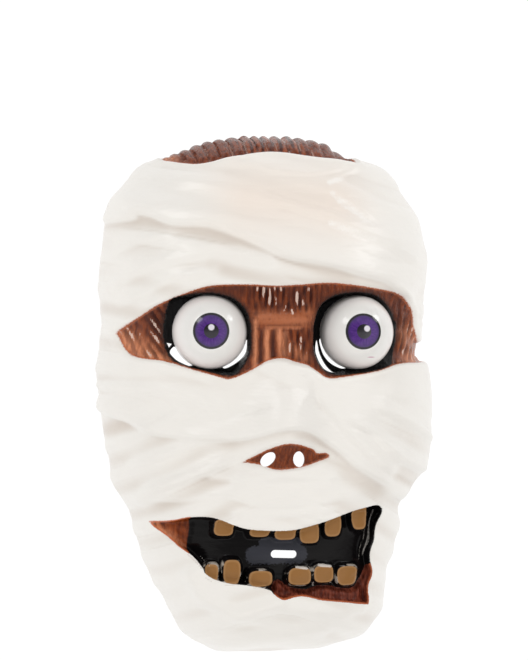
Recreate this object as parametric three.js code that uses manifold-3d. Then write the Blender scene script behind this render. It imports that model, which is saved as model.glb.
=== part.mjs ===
import * as THREE from "three";
import { mergeVertices } from "three/addons/utils/BufferGeometryUtils.js";
import Module from "manifold-3d";

// A mummy's face mask: one formed shell that lies on its rim with the face up, and two eyeballs set into it.
// Z points out of the face, Y to the top of the head and X to the onlooker's right.

// Overall sizes of the shell
const MASK_WIDTH = 184;
const MASK_HEIGHT = 282;
const FACE_DEPTH = 68;
const WALL = 2;

// Forms pressed into the shell
const NOSE_RISE = 13;
const NOSE_HALF_WIDTH = 16;
const BANDAGE_THICKNESS = 2;
const BANDAGE_EDGE = 4;
const FOLD_RISE = 3.2;
const FOLD_REACH = 13;
const FOLD_EDGE = 2.5;
const FOLD_DIP = 0.5;
const RIM_FADE = 12;

// Mouth, teeth and the holes to breathe through
const MOUTH_DEPTH = 9;
const TOOTH_RISE = 7;
const TOOTH_CORNER = 1.6;
const BREATH_SLOT_LENGTH = 14.2;
const BREATH_SLOT_HEIGHT = 4.6;
const BREATH_SLOT_ROUNDNESS = 0.95;
const NOSTRIL_LENGTH = 9;
const NOSTRIL_HEIGHT = 6.4;

// Eyes
const BALL_RADIUS = 20;
const BALL_WALL = 1.5;
const BALL_PROUD = 12;
const BALL_GAP = 0.3;
const SIGHT_SLIT = 2.8;

// How finely the surfaces are faceted
const STEPS_ACROSS = 32;
const STEPS_ALONG = 44;
const ROUND_SIDES = 28;
const NOSTRIL_SIDES = 20;
const SLOT_CORNER_STEPS = 4;
const SLIT_STEPS = 10;
const DOME_RINGS = 6;
const CREST_STEPS = 2000;
const TURN_STEP = 0.01;
const PLACE_STEP = 0.002;
const MERGE_DISTANCE = 1e-4;

const HALF_WIDTH = MASK_WIDTH / 2;
const HALF_HEIGHT = MASK_HEIGHT / 2;
const SECTION_ROUNDNESS = 2.5;

// Cross sections from chin to crown: place along the half height, the two edges as shares of the half width,
// and the height of the middle as a share of the face's depth.
const SECTIONS = [
  { at: -1.0, left: 0.2, right: 0, depth: 0 },
  { at: -0.98, left: 0.3, right: 0.25, depth: 0.3 },
  { at: -0.96, left: 0.37, right: 0.43, depth: 0.45 },
  { at: -0.94, left: 0.44, right: 0.545, depth: 0.56 },
  { at: -0.885, left: 0.52, right: 0.655, depth: 0.73 },
  { at: -0.8, left: 0.585, right: 0.705, depth: 0.865 },
  { at: -0.68, left: 0.69, right: 0.725, depth: 0.935 },
  { at: -0.55, left: 0.76, right: 0.79, depth: 0.96 },
  { at: -0.41, left: 0.825, right: 0.815, depth: 0.97 },
  { at: -0.36, left: 0.88, right: 0.89, depth: 0.975 },
  { at: -0.27, left: 0.915, right: 0.965, depth: 0.975 },
  { at: -0.19, left: 0.945, right: 0.985, depth: 0.97 },
  { at: 0.0, left: 0.985, right: 0.99, depth: 0.965 },
  { at: 0.1, left: 1.0, right: 0.985, depth: 0.97 },
  { at: 0.15, left: 0.985, right: 0.93, depth: 0.97 },
  { at: 0.23, left: 0.985, right: 0.95, depth: 0.98 },
  { at: 0.32, left: 0.975, right: 0.95, depth: 0.995 },
  { at: 0.445, left: 0.985, right: 0.965, depth: 1 },
  { at: 0.57, left: 0.965, right: 0.96, depth: 0.96 },
  { at: 0.7, left: 0.935, right: 0.905, depth: 0.865 },
  { at: 0.79, left: 0.86, right: 0.815, depth: 0.76 },
  { at: 0.85, left: 0.78, right: 0.755, depth: 0.66 },
  { at: 0.885, left: 0.735, right: 0.69, depth: 0.6 },
  { at: 0.915, left: 0.6, right: 0.52, depth: 0.52 },
  { at: 0.945, left: 0.465, right: 0.43, depth: 0.42 },
  { at: 0.975, left: 0.34, right: 0.36, depth: 0.28 },
  { at: 1.0, left: 0.12, right: 0.17, depth: 0 },
];

// The nose from bridge to lip, as shares of the half height, the nose's rise and its half width
const NOSE = [
  { at: -0.33, rise: 0, width: 0.8 },
  { at: -0.27, rise: 0.12, width: 0.9 },
  { at: -0.215, rise: 0.5, width: 0.95 },
  { at: -0.165, rise: 0.95, width: 1 },
  { at: -0.09, rise: 1, width: 1 },
  { at: 0, rise: 0.75, width: 0.85 },
  { at: 0.1, rise: 0.3, width: 0.6 },
  { at: 0.18, rise: 0, width: 0.5 },
];

// Bare skin between the bandages: its lower and upper border at places across the half width
const SKIN_BANDS = {
  scalp: [
    { at: -0.75, low: 0.9, high: 0.9 },
    { at: -0.6, low: 0.9, high: 1.1 },
    { at: -0.3, low: 0.915, high: 1.1 },
    { at: 0, low: 0.945, high: 1.1 },
    { at: 0.25, low: 0.922, high: 1.1 },
    { at: 0.5, low: 0.9, high: 1.1 },
    { at: 0.65, low: 0.9, high: 0.9 },
  ],
  eyes: [
    { at: -0.94, low: 0.225, high: 0.225 },
    { at: -0.87, low: 0.165, high: 0.275 },
    { at: -0.7, low: 0.125, high: 0.35 },
    { at: -0.5, low: 0.09, high: 0.41 },
    { at: -0.3, low: 0.062, high: 0.428 },
    { at: -0.1, low: 0.118, high: 0.428 },
    { at: 0.02, low: 0.142, high: 0.428 },
    { at: 0.15, low: 0.118, high: 0.433 },
    { at: 0.28, low: 0.064, high: 0.434 },
    { at: 0.5, low: 0.08, high: 0.42 },
    { at: 0.75, low: 0.114, high: 0.378 },
    { at: 0.84, low: 0.122, high: 0.26 },
    { at: 0.95, low: 0.13, high: 0.2 },
  ],
  nose: [
    { at: -0.25, low: -0.267, high: -0.267 },
    { at: -0.13, low: -0.278, high: -0.227 },
    { at: 0, low: -0.293, high: -0.198 },
    { at: 0.14, low: -0.276, high: -0.212 },
    { at: 0.28, low: -0.245, high: -0.245 },
  ],
};

// Edges where one turn of bandage laps over the next, as points in shares of the half width and half height.
// Rise and reach are shares of the named fold sizes. The raised side is to the left of the path's direction.
const FOLDS = [
  {
    rise: 1, reach: 1.2,
    path: [[-1, 0.66], [-0.78, 0.7], [-0.5, 0.66], [0.1, 0.54], [0.48, 0.475], [0.95, 0.36]],
  },
  { rise: 0.8, reach: 0.8, path: [[0.25, 0.67], [0.58, 0.59], [0.9, 0.48]] },
  { rise: 0.7, reach: 0.9, path: [[-1, 0.44], [-0.75, 0.52], [-0.52, 0.62]] },
  {
    rise: 0.9, reach: 0.9,
    path: [[-1, -0.06], [-0.86, -0.13], [-0.46, -0.18], [-0.24, -0.18], [-0.1, -0.15]],
  },
  { rise: 0.7, reach: 0.7, path: [[-1, -0.29], [-0.65, -0.24], [-0.45, -0.2]] },
  { rise: 0.6, reach: 0.6, path: [[-0.5, -0.32], [-0.24, -0.265]] },
  { rise: 0.8, reach: 0.8, path: [[0.34, 0], [0.55, -0.12], [0.83, -0.28], [1, -0.33]] },
  { rise: 0.8, reach: 0.8, path: [[0.55, -0.04], [0.8, -0.11], [1, -0.16]] },
  { rise: 0.7, reach: 0.7, path: [[0.28, -0.24], [0.6, -0.31], [0.9, -0.4]] },
  { rise: 0.6, reach: 0.6, path: [[-0.8, -0.4], [-0.3, -0.42], [0.2, -0.44], [0.5, -0.39]] },
  { rise: 0.8, reach: 0.7, path: [[-0.5, -0.82], [-0.1, -0.88], [0.4, -0.86], [0.66, -0.82]] },
];

// The mouth's edge, counter-clockwise from its left corner, in shares of the half width and half height
const MOUTH_EDGE = [
  [-0.72, -0.5], [-0.61, -0.565], [-0.53, -0.62], [-0.46, -0.67], [-0.43, -0.7], [-0.38, -0.727],
  [-0.25, -0.742], [-0.15, -0.757], [-0.05, -0.777], [0, -0.795], [0.05, -0.787], [0.15, -0.79],
  [0.3, -0.808], [0.44, -0.813], [0.54, -0.805], [0.555, -0.74], [0.545, -0.67], [0.535, -0.62],
  [0.55, -0.56], [0.58, -0.505], [0.61, -0.465], [0.6, -0.43], [0.53, -0.437], [0.39, -0.465],
  [0.24, -0.5], [0.14, -0.52], [-0.01, -0.533], [-0.16, -0.523], [-0.29, -0.507], [-0.4, -0.487],
  [-0.5, -0.48], [-0.62, -0.49],
];

// Teeth: middle and width as shares of the half width, lower and upper edge as shares of the half height
const TEETH = [
  { x: -0.32, width: 0.114, low: -0.55, high: -0.49 },
  { x: -0.12, width: 0.122, low: -0.558, high: -0.52 },
  { x: 0.03, width: 0.128, low: -0.57, high: -0.525 },
  { x: 0.175, width: 0.118, low: -0.583, high: -0.515 },
  { x: 0.315, width: 0.095, low: -0.558, high: -0.49 },
  { x: 0.475, width: 0.088, low: -0.53, high: -0.46 },
  { x: -0.385, width: 0.082, low: -0.72, high: -0.66 },
  { x: -0.275, width: 0.103, low: -0.733, high: -0.645 },
  { x: -0.11, width: 0.14, low: -0.75, high: -0.687 },
  { x: 0.125, width: 0.135, low: -0.745, high: -0.675 },
  { x: 0.265, width: 0.118, low: -0.735, high: -0.667 },
  { x: 0.4, width: 0.112, low: -0.745, high: -0.667 },
];
const BREATH_SLOT = { x: 0.02, y: -0.617 };

// Nostrils: place in shares of the half width and height, and how many degrees the long axis leans from level
const NOSTRILS = [
  { x: -0.09, y: -0.235, lean: 45 },
  { x: 0.09, y: -0.235, lean: 105 },
];

// Eyes: place in shares of the half width and height, the angle in degrees that they turn to the right, and
// the socket's edge to the left, right, top and bottom as shares of the ball's radius. Crescent slits run
// round the ball between two angles, clear of it by a share of its radius, with a share of the slit's width.
const EYES = [
  {
    name: "eyeball_left", x: -0.406, y: 0.243, look: -6,
    socket: { left: 1.3, right: 1.12, top: 1.03, bottom: 1.19 },
    slits: [{ from: 292, to: 352, clear: 0, thick: 1 }, { from: 203, to: 240, clear: 0.03, thick: 1 }],
  },
  {
    name: "eyeball_right", x: 0.461, y: 0.241, look: 1,
    socket: { left: 1.34, right: 1.06, top: 1.03, bottom: 1.17 },
    slits: [{ from: 190, to: 250, clear: 0, thick: 0.4 }, { from: 192, to: 240, clear: 0.14, thick: 0.8 }],
  },
];

// A smooth reading between the rows of a table, with each row's slope taken from its neighbours
function read(rows, at, column) {
  const last = rows.length - 1;
  if (at <= rows[0].at) return rows[0][column];
  if (at >= rows[last].at) return rows[last][column];
  let i = 0;
  while (rows[i + 1].at < at) i += 1;
  const slope = (k) => {
    const before = rows[Math.max(k - 1, 0)];
    const after = rows[Math.min(k + 1, last)];
    return (after[column] - before[column]) / (after.at - before.at);
  };
  const span = rows[i + 1].at - rows[i].at;
  const t = (at - rows[i].at) / span;
  const change = rows[i + 1][column] - rows[i][column];
  const start = slope(i) * span - change;
  const end = change - slope(i + 1) * span;
  return rows[i][column] + t * change + t * (1 - t) * ((1 - t) * start + t * end);
}

function section(at) {
  const left = read(SECTIONS, at, "left") * HALF_WIDTH;
  const right = read(SECTIONS, at, "right") * HALF_WIDTH;
  const depth = Math.max(read(SECTIONS, at, "depth"), 0) * FACE_DEPTH;
  return { middle: (right - left) / 2, half: (right + left) / 2, depth };
}

// Height of the plain face over a place in the rim's plane
function faceHeight(x, y) {
  const { middle, half, depth } = section(y / HALF_HEIGHT);
  const share = Math.min(Math.abs((x - middle) / half), 1);
  return depth * Math.sqrt(1 - share ** SECTION_ROUNDNESS);
}

// A point of the plain face: turn runs from one edge over the middle to the other, from 0 to half a turn
function facePoint(turn, at) {
  const { middle, half, depth } = section(at);
  const cosine = -Math.cos(turn);
  const share = Math.sign(cosine) * Math.abs(cosine) ** (2 / SECTION_ROUNDNESS);
  return new THREE.Vector3(middle + share * half, at * HALF_HEIGHT, depth * Math.sin(turn));
}

// Places along the mask that divide its crest line into equal lengths
function evenPlaces(count) {
  const lengths = [0];
  let before = facePoint(Math.PI / 2, -1);
  for (let i = 1; i <= CREST_STEPS; i += 1) {
    const here = facePoint(Math.PI / 2, -1 + (2 * i) / CREST_STEPS);
    lengths.push(lengths[i - 1] + here.distanceTo(before));
    before = here;
  }
  const places = [];
  let i = 0;
  for (let k = 0; k <= count; k += 1) {
    while (i < CREST_STEPS && lengths[i] < (k / count) * lengths[CREST_STEPS]) i += 1;
    places.push(-1 + (2 * i) / CREST_STEPS);
  }
  return places;
}

function smoothStep(low, high, value) {
  return THREE.MathUtils.smoothstep(value, low, high);
}

// Signed distance from a path of straight stretches, positive to the left of its direction
function sideDistance(path, x, y) {
  let best = Infinity;
  for (let i = 0; i + 1 < path.length; i += 1) {
    const [x0, y0] = [path[i][0] * HALF_WIDTH, path[i][1] * HALF_HEIGHT];
    const [dx, dy] = [path[i + 1][0] * HALF_WIDTH - x0, path[i + 1][1] * HALF_HEIGHT - y0];
    const along = THREE.MathUtils.clamp(((x - x0) * dx + (y - y0) * dy) / (dx * dx + dy * dy), 0, 1);
    const distance = Math.hypot(x - x0 - along * dx, y - y0 - along * dy);
    const side = dx * (y - y0) - dy * (x - x0) < 0 ? -1 : 1;
    if (distance < Math.abs(best)) best = side * distance;
  }
  return best;
}

// How far the bandages, their folds and the nose stand out from the plain face
function relief(point) {
  const { x, y } = point;
  const at = y / HALF_HEIGHT;
  const across = x / HALF_WIDTH;
  let height = BANDAGE_THICKNESS;
  for (const band of Object.values(SKIN_BANDS)) {
    const low = read(band, across, "low") * HALF_HEIGHT;
    const high = read(band, across, "high") * HALF_HEIGHT;
    const inside = Math.min(y - low, high - y);
    height -= BANDAGE_THICKNESS * smoothStep(-BANDAGE_EDGE / 2, BANDAGE_EDGE / 2, inside);
  }
  for (const { rise, reach, path } of FOLDS) {
    const distance = sideDistance(path, x, y);
    const lap = (1 + FOLD_DIP) * smoothStep(-FOLD_EDGE, FOLD_EDGE, distance) - FOLD_DIP;
    height += rise * FOLD_RISE * lap * Math.exp(-Math.abs(distance) / (reach * FOLD_REACH));
  }
  const width = read(NOSE, at, "width") * NOSE_HALF_WIDTH;
  height += read(NOSE, at, "rise") * NOSE_RISE * Math.exp(-((x / width) ** 2));
  return height * Math.min(point.z / RIM_FADE, 1);
}

function normalOf(grid, i, j) {
  const rows = grid.length - 1;
  const columns = grid[0].length - 1;
  const across = grid[i][Math.min(j + 1, columns)].clone().sub(grid[i][Math.max(j - 1, 0)]);
  const along = grid[Math.min(i + 1, rows)][j].clone().sub(grid[Math.max(i - 1, 0)][j]);
  const normal = across.cross(along);
  if (i === 0 || i === rows || j === 0 || j === columns) normal.setZ(0);
  return normal.normalize();
}

// The face as a grid of points. With folds it is the outside of the shell, without them the plain face.
function faceGrid(folded) {
  return evenPlaces(STEPS_ALONG).map((at) => {
    const row = [];
    for (let j = 0; j <= STEPS_ACROSS; j += 1) {
      const turn = (j / STEPS_ACROSS) * Math.PI;
      const point = facePoint(turn, at);
      const beside = facePoint(turn + TURN_STEP, at).sub(facePoint(turn - TURN_STEP, at));
      const [back, ahead] = [Math.max(at - PLACE_STEP, -1), Math.min(at + PLACE_STEP, 1)];
      const along = facePoint(turn, ahead).sub(facePoint(turn, back));
      const out = beside.cross(along).normalize();
      if (folded) point.addScaledVector(out, relief(point));
      row.push(point);
    }
    return row;
  });
}

function offsetGrid(grid, distance) {
  return grid.map((row, i) =>
    row.map((point, j) => point.clone().addScaledVector(normalOf(grid, i, j), -distance)),
  );
}

const wasm = await Module();
wasm.setup();

function solidFrom(geometry) {
  const bare = geometry.index ? geometry.toNonIndexed() : geometry.clone();
  bare.deleteAttribute("normal");
  bare.deleteAttribute("uv");
  const merged = mergeVertices(bare, MERGE_DISTANCE);
  return new wasm.Manifold(
    new wasm.Mesh({
      numProp: 3,
      vertProperties: new Float32Array(merged.attributes.position.array),
      triVerts: new Uint32Array(merged.index.array),
    }),
  );
}

function geometryOf(solid) {
  const mesh = solid.getMesh();
  const geometry = new THREE.BufferGeometry();
  geometry.setAttribute("position", new THREE.BufferAttribute(mesh.vertProperties, 3));
  geometry.setIndex(new THREE.BufferAttribute(mesh.triVerts, 1));
  const shaded = geometry.toNonIndexed();
  shaded.computeVertexNormals();
  return shaded;
}

// The solid under a face grid, down to a flat base
function solidUnder(grid, base) {
  const rows = grid.length - 1;
  const columns = grid[0].length - 1;
  const corners = [];
  const facet = (a, b, c) => corners.push(...a.toArray(), ...b.toArray(), ...c.toArray());
  const foot = (point) => new THREE.Vector3(point.x, point.y, base);
  for (let i = 0; i < rows; i += 1) {
    for (let j = 0; j < columns; j += 1) {
      facet(grid[i][j], grid[i][j + 1], grid[i + 1][j + 1]);
      facet(grid[i][j], grid[i + 1][j + 1], grid[i + 1][j]);
    }
    facet(foot(grid[i][0]), foot(grid[i + 1][0]), foot(grid[i + 1][columns]));
    facet(foot(grid[i][0]), foot(grid[i + 1][columns]), foot(grid[i][columns]));
  }
  for (let j = 1; j < columns; j += 1) {
    facet(foot(grid[0][0]), foot(grid[0][j + 1]), foot(grid[0][j]));
    facet(foot(grid[rows][0]), foot(grid[rows][j]), foot(grid[rows][j + 1]));
  }
  if (base < 0) {
    const rightEdge = grid.map((row) => row[columns]).slice(1);
    const leftEdge = grid.map((row) => row[0]).slice(1, rows);
    const rim = [...grid[0], ...rightEdge, ...grid[rows].slice(0, columns).reverse(), ...leftEdge.reverse()];
    rim.forEach((point, k) => {
      const next = rim[(k + 1) % rim.length];
      facet(foot(point), foot(next), next);
      facet(foot(point), next, point);
    });
  }
  const geometry = new THREE.BufferGeometry();
  geometry.setAttribute("position", new THREE.Float32BufferAttribute(corners, 3));
  return solidFrom(geometry);
}

// A column along Z over an outline, from one height to another
function column(points, bottom, top) {
  const shape = new THREE.Shape(points);
  const geometry = new THREE.ExtrudeGeometry(shape, { depth: top - bottom, bevelEnabled: false });
  geometry.translate(0, 0, bottom);
  return geometry;
}

// An outline moved outwards by a distance, each corner along the mean of its two sides
function grown(points, distance) {
  return points.map((point, i) => {
    const before = points[(i + points.length - 1) % points.length];
    const after = points[(i + 1) % points.length];
    const direction = after.clone().sub(before).normalize();
    return new THREE.Vector2(point.x + direction.y * distance, point.y - direction.x * distance);
  });
}

function oval({ left, right, top, bottom }, sides = ROUND_SIDES) {
  return Array.from({ length: sides }, (_, i) => {
    const angle = (i / sides) * 2 * Math.PI;
    const [cosine, sine] = [Math.cos(angle), Math.sin(angle)];
    return new THREE.Vector2(cosine * (cosine < 0 ? left : right), sine * (sine < 0 ? bottom : top));
  });
}

// A rectangle with its corners rounded in a number of steps, or cut off square with none
function roundedBox(width, height, corner, steps) {
  const points = [];
  for (let i = 0; i < 4; i += 1) {
    const [sideX, sideY] = [i === 0 || i === 3 ? 1 : -1, i < 2 ? 1 : -1];
    for (let k = 0; k <= steps; k += 1) {
      const angle = ((i + k / Math.max(steps, 1)) * Math.PI) / 2;
      const x = sideX * (width / 2 - corner) + corner * Math.cos(angle);
      const y = sideY * (height / 2 - corner) + corner * Math.sin(angle);
      points.push(new THREE.Vector2(x, y));
    }
  }
  return points;
}

const ABOVE = FACE_DEPTH + NOSE_RISE + BALL_RADIUS;
const BELOW = -WALL;
const outside = solidUnder(faceGrid(true), 0);
const inside = solidUnder(offsetGrid(faceGrid(true), WALL), BELOW);
const plainFace = solidUnder(faceGrid(false), BELOW);
let shell = outside.subtract(inside);

// The mouth is a recess that follows the face, with walls as thick as the shell
const mouthEdge = MOUTH_EDGE.map(([x, y]) => new THREE.Vector2(x * HALF_WIDTH, y * HALF_HEIGHT));
const behindMouth = plainFace.translate(0, 0, -MOUTH_DEPTH - WALL);
const mouthFloor = plainFace.translate(0, 0, -MOUTH_DEPTH);
const mouthSpace = solidFrom(column(mouthEdge, BELOW, ABOVE)).subtract(mouthFloor);
const mouthCup = solidFrom(column(grown(mouthEdge, WALL), BELOW, ABOVE)).intersect(outside);
shell = shell.add(mouthCup.subtract(behindMouth)).subtract(mouthSpace);

// Teeth stand in the mouth's floor and are open from behind, like everything that is pressed into a sheet
for (const { x, width, low, high } of TEETH) {
  const [middleX, middleY] = [x * HALF_WIDTH, ((low + high) / 2) * HALF_HEIGHT];
  const [wide, tall] = [width * HALF_WIDTH, (high - low) * HALF_HEIGHT];
  const top = faceHeight(middleX, middleY) - MOUTH_DEPTH + TOOTH_RISE;
  const tooth = column(roundedBox(wide, tall, TOOTH_CORNER, 1), BELOW, top).translate(middleX, middleY, 0);
  const hollow = column(roundedBox(wide - 2 * WALL, tall - 2 * WALL, 0, 0), BELOW, top - WALL);
  shell = shell.add(solidFrom(tooth).subtract(behindMouth));
  shell = shell.subtract(solidFrom(hollow.translate(middleX, middleY, 0)));
}
const slotCorner = (BREATH_SLOT_ROUNDNESS * BREATH_SLOT_HEIGHT) / 2;
const slotOutline = roundedBox(BREATH_SLOT_LENGTH, BREATH_SLOT_HEIGHT, slotCorner, SLOT_CORNER_STEPS);
const slot = column(slotOutline, BELOW, ABOVE);
slot.translate(BREATH_SLOT.x * HALF_WIDTH, BREATH_SLOT.y * HALF_HEIGHT, 0);
shell = shell.subtract(solidFrom(slot));

for (const { x, y, lean } of NOSTRILS) {
  const [long, short] = [NOSTRIL_LENGTH / 2, NOSTRIL_HEIGHT / 2];
  const outline = oval({ left: long, right: long, top: short, bottom: short }, NOSTRIL_SIDES);
  const hole = column(outline, BELOW, ABOVE);
  hole.rotateZ(THREE.MathUtils.degToRad(lean)).translate(x * HALF_WIDTH, y * HALF_HEIGHT, 0);
  shell = shell.subtract(solidFrom(hole));
}

// Each eyeball is a half ball with an open back, on the flat floor of its socket and square to its look
const balls = EYES.map(({ name, x, y, look, socket, slits }) => {
  const [placeX, placeY] = [x * HALF_WIDTH, y * HALF_HEIGHT];
  const height = faceHeight(placeX, placeY) + BALL_PROUD - BALL_RADIUS;
  const place = new THREE.Matrix4()
    .makeRotationY(THREE.MathUtils.degToRad(look))
    .setPosition(placeX, placeY, height);
  const edges = Object.fromEntries(Object.entries(socket).map(([side, share]) => [side, share * BALL_RADIUS]));
  const space = solidFrom(column(oval(edges), 0, ABOVE).applyMatrix4(place));
  const cup = solidFrom(column(grown(oval(edges), WALL), -WALL, ABOVE).applyMatrix4(place)).intersect(outside);
  shell = shell.add(cup).subtract(space);
  for (const { from, to, clear, thick } of slits) {
    const points = [];
    for (let i = 0; i <= SLIT_STEPS; i += 1) {
      const angle = THREE.MathUtils.degToRad(from + ((to - from) * i) / SLIT_STEPS);
      const radius = BALL_RADIUS * (1 + clear) + BALL_GAP;
      const width = thick * SIGHT_SLIT * Math.sin((i / SLIT_STEPS) * Math.PI);
      points.unshift(new THREE.Vector2(Math.cos(angle), Math.sin(angle)).multiplyScalar(radius));
      if (i > 0 && i < SLIT_STEPS) {
        points.push(new THREE.Vector2(Math.cos(angle), Math.sin(angle)).multiplyScalar(radius + width));
      }
    }
    const reach = WALL + BALL_GAP;
    shell = shell.subtract(solidFrom(column(points, -reach, reach).applyMatrix4(place)));
  }
  const profile = [];
  for (let i = 0; i <= DOME_RINGS; i += 1) {
    const angle = ((1 - i / DOME_RINGS) * Math.PI) / 2;
    profile.push(new THREE.Vector2(Math.cos(angle), Math.sin(angle)).multiplyScalar(BALL_RADIUS - BALL_WALL));
  }
  for (let i = 0; i <= DOME_RINGS; i += 1) {
    const angle = ((i / DOME_RINGS) * Math.PI) / 2;
    profile.push(new THREE.Vector2(Math.cos(angle), Math.sin(angle)).multiplyScalar(BALL_RADIUS));
  }
  profile[0].x = 0;
  profile[profile.length - 1].x = 0;
  const dome = new THREE.LatheGeometry(profile, ROUND_SIDES).rotateX(Math.PI / 2).translate(0, 0, BALL_GAP);
  return { name, geometry: geometryOf(solidFrom(dome.applyMatrix4(place))) };
});

function addPiece(group, name, geometry, finish) {
  const mesh = new THREE.Mesh(geometry, new THREE.MeshStandardMaterial(finish));
  mesh.name = name;
  group.add(mesh);
}

const mask = new THREE.Group();
addPiece(mask, "mask_shell", geometryOf(shell), { color: 0xefede8, roughness: 0.3, metalness: 0 });
for (const { name, geometry } of balls) {
  addPiece(mask, name, geometry, { color: 0xf3f1ee, roughness: 0.15, metalness: 0 });
}

export default mask;
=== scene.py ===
import math

import bmesh
import bpy
import numpy as np
from mathutils import Matrix, Vector


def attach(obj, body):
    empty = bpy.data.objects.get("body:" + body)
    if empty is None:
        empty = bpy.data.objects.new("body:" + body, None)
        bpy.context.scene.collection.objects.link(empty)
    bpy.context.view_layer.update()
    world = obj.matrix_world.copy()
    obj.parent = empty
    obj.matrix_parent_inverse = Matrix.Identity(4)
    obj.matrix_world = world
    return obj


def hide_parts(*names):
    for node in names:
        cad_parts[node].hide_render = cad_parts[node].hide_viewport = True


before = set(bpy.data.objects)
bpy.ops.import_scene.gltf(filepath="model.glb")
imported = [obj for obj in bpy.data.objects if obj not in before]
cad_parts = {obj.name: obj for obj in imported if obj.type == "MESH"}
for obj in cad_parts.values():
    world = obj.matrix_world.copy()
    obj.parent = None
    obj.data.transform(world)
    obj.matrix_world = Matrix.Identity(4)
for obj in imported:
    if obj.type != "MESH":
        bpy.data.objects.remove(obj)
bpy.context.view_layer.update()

# Mask shell: one thin sheet of vinyl, formed hot over a mould, trimmed to a flat rim and spray-painted.
# Bandages, skin, nose, teeth and eye sockets are all pressed into the same sheet, in relief.
MM = 0.001
HALF_WIDTH, HALF_HEIGHT, FACE_DEPTH = 92.0, 141.0, 68.0
SHEET, WALL_MARGIN = 2.0, 3.0
# The power of the rounded cross sections, where 2 is an ellipse
ROUNDNESS = 2.5

# Cross sections from chin to crown: place along the half height, left and right edge as shares of the half
# width, height of the middle as a share of the depth
SECTIONS = np.array([
    (-1, 0.2, 0, 0), (-0.98, 0.3, 0.25, 0.3), (-0.96, 0.37, 0.43, 0.45), (-0.94, 0.44, 0.545, 0.56),
    (-0.885, 0.52, 0.655, 0.73), (-0.8, 0.585, 0.705, 0.865), (-0.68, 0.69, 0.725, 0.935),
    (-0.55, 0.76, 0.79, 0.96), (-0.41, 0.825, 0.815, 0.97), (-0.36, 0.88, 0.89, 0.975),
    (-0.27, 0.915, 0.965, 0.975), (-0.19, 0.945, 0.985, 0.97), (0, 0.985, 0.99, 0.965),
    (0.1, 1, 0.985, 0.97), (0.15, 0.985, 0.93, 0.97), (0.23, 0.985, 0.95, 0.98), (0.32, 0.975, 0.95, 0.995),
    (0.445, 0.985, 0.965, 1), (0.57, 0.965, 0.96, 0.96), (0.7, 0.935, 0.905, 0.865),
    (0.79, 0.86, 0.815, 0.76), (0.85, 0.78, 0.755, 0.66), (0.885, 0.735, 0.69, 0.6), (0.915, 0.6, 0.52, 0.52),
    (0.945, 0.465, 0.43, 0.42), (0.975, 0.34, 0.36, 0.28), (1, 0.12, 0.17, 0),
])


def read(rows, at, column):
    """A smooth reading between the rows of a table, each row's slope taken from its neighbours."""
    places, values = rows[:, 0], rows[:, column]
    slopes = np.empty(len(places))
    slopes[1:-1] = (values[2:] - values[:-2]) / (places[2:] - places[:-2])
    slopes[0] = (values[1] - values[0]) / (places[1] - places[0])
    slopes[-1] = (values[-1] - values[-2]) / (places[-1] - places[-2])
    at = np.clip(at, places[0], places[-1])
    i = np.clip(np.searchsorted(places, at) - 1, 0, len(places) - 2)
    span = places[i + 1] - places[i]
    t = (at - places[i]) / span
    change = values[i + 1] - values[i]
    start = slopes[i] * span - change
    end = change - slopes[i + 1] * span
    return values[i] + t * change + t * (1 - t) * ((1 - t) * start + t * end)


def section(y):
    """Middle, half width and depth of the plain face at a height, in mm."""
    at = y / HALF_HEIGHT
    left = read(SECTIONS, at, 1) * HALF_WIDTH
    right = read(SECTIONS, at, 2) * HALF_WIDTH
    return (right - left) / 2, (right + left) / 2, np.maximum(read(SECTIONS, at, 3), 0) * FACE_DEPTH


def plain_height(x, y):
    """Height of the plain face over a place in the rim's plane, in mm."""
    middle, half, depth = section(y)
    share = np.minimum(np.abs((x - middle) / half), 1)
    return depth * np.sqrt(1 - share**ROUNDNESS)


def smooth(low, high, value):
    """A soft step from 0 at low to 1 at high."""
    t = np.clip((value - low) / (high - low), 0, 1)
    return t * t * (3 - 2 * t)


BORDER_STEPS, PATH_STEPS = 6, 4


def rounded(points, closed, steps=BORDER_STEPS):
    """Points of a smooth curve through a few points. A point named twice stays a sharp corner."""
    points = np.array(points, float)
    count = len(points)
    last = count if closed else count - 1
    curve = []
    for i in range(last):
        if closed:
            a, b, c, d = (points[(i + k) % count] for k in (-1, 0, 1, 2))
        else:
            a, b, c, d = (points[min(max(i + k, 0), count - 1)] for k in (-1, 0, 1, 2))
        if np.allclose(b, c):
            continue
        t = np.linspace(0, 1, steps, endpoint=False)[:, None]
        start, end = (c - a) / 2, (d - b) / 2
        curve.append(
            b + t * start + t**2 * (3 * (c - b) - 2 * start - end) + t**3 * (2 * (b - c) + start + end)
        )
    if not closed:
        curve.append(points[-1:])
    return np.concatenate(curve)


def nearest(path, x, y, closed):
    """Signed distance in mm to a path, positive on its left, and the nearest point on it."""
    ends = np.roll(path, -1, axis=0) if closed else path[1:]
    starts = path if closed else path[:-1]
    best = np.full(x.shape, np.inf)
    signed, near_x, near_y = np.zeros(x.shape), np.zeros(x.shape), np.zeros(x.shape)
    for (ax, ay), (bx, by) in zip(starts, ends):
        dx, dy = bx - ax, by - ay
        t = np.clip(((x - ax) * dx + (y - ay) * dy) / (dx * dx + dy * dy + 1e-12), 0, 1)
        px, py = ax + t * dx, ay + t * dy
        far = np.hypot(x - px, y - py)
        closer = far < best
        best = np.where(closer, far, best)
        side = np.where(dx * (y - ay) - dy * (x - ax) < 0, -1.0, 1.0)
        signed = np.where(closer, side * far, signed)
        near_x, near_y = np.where(closer, px, near_x), np.where(closer, py, near_y)
    return signed, near_x, near_y


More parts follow.
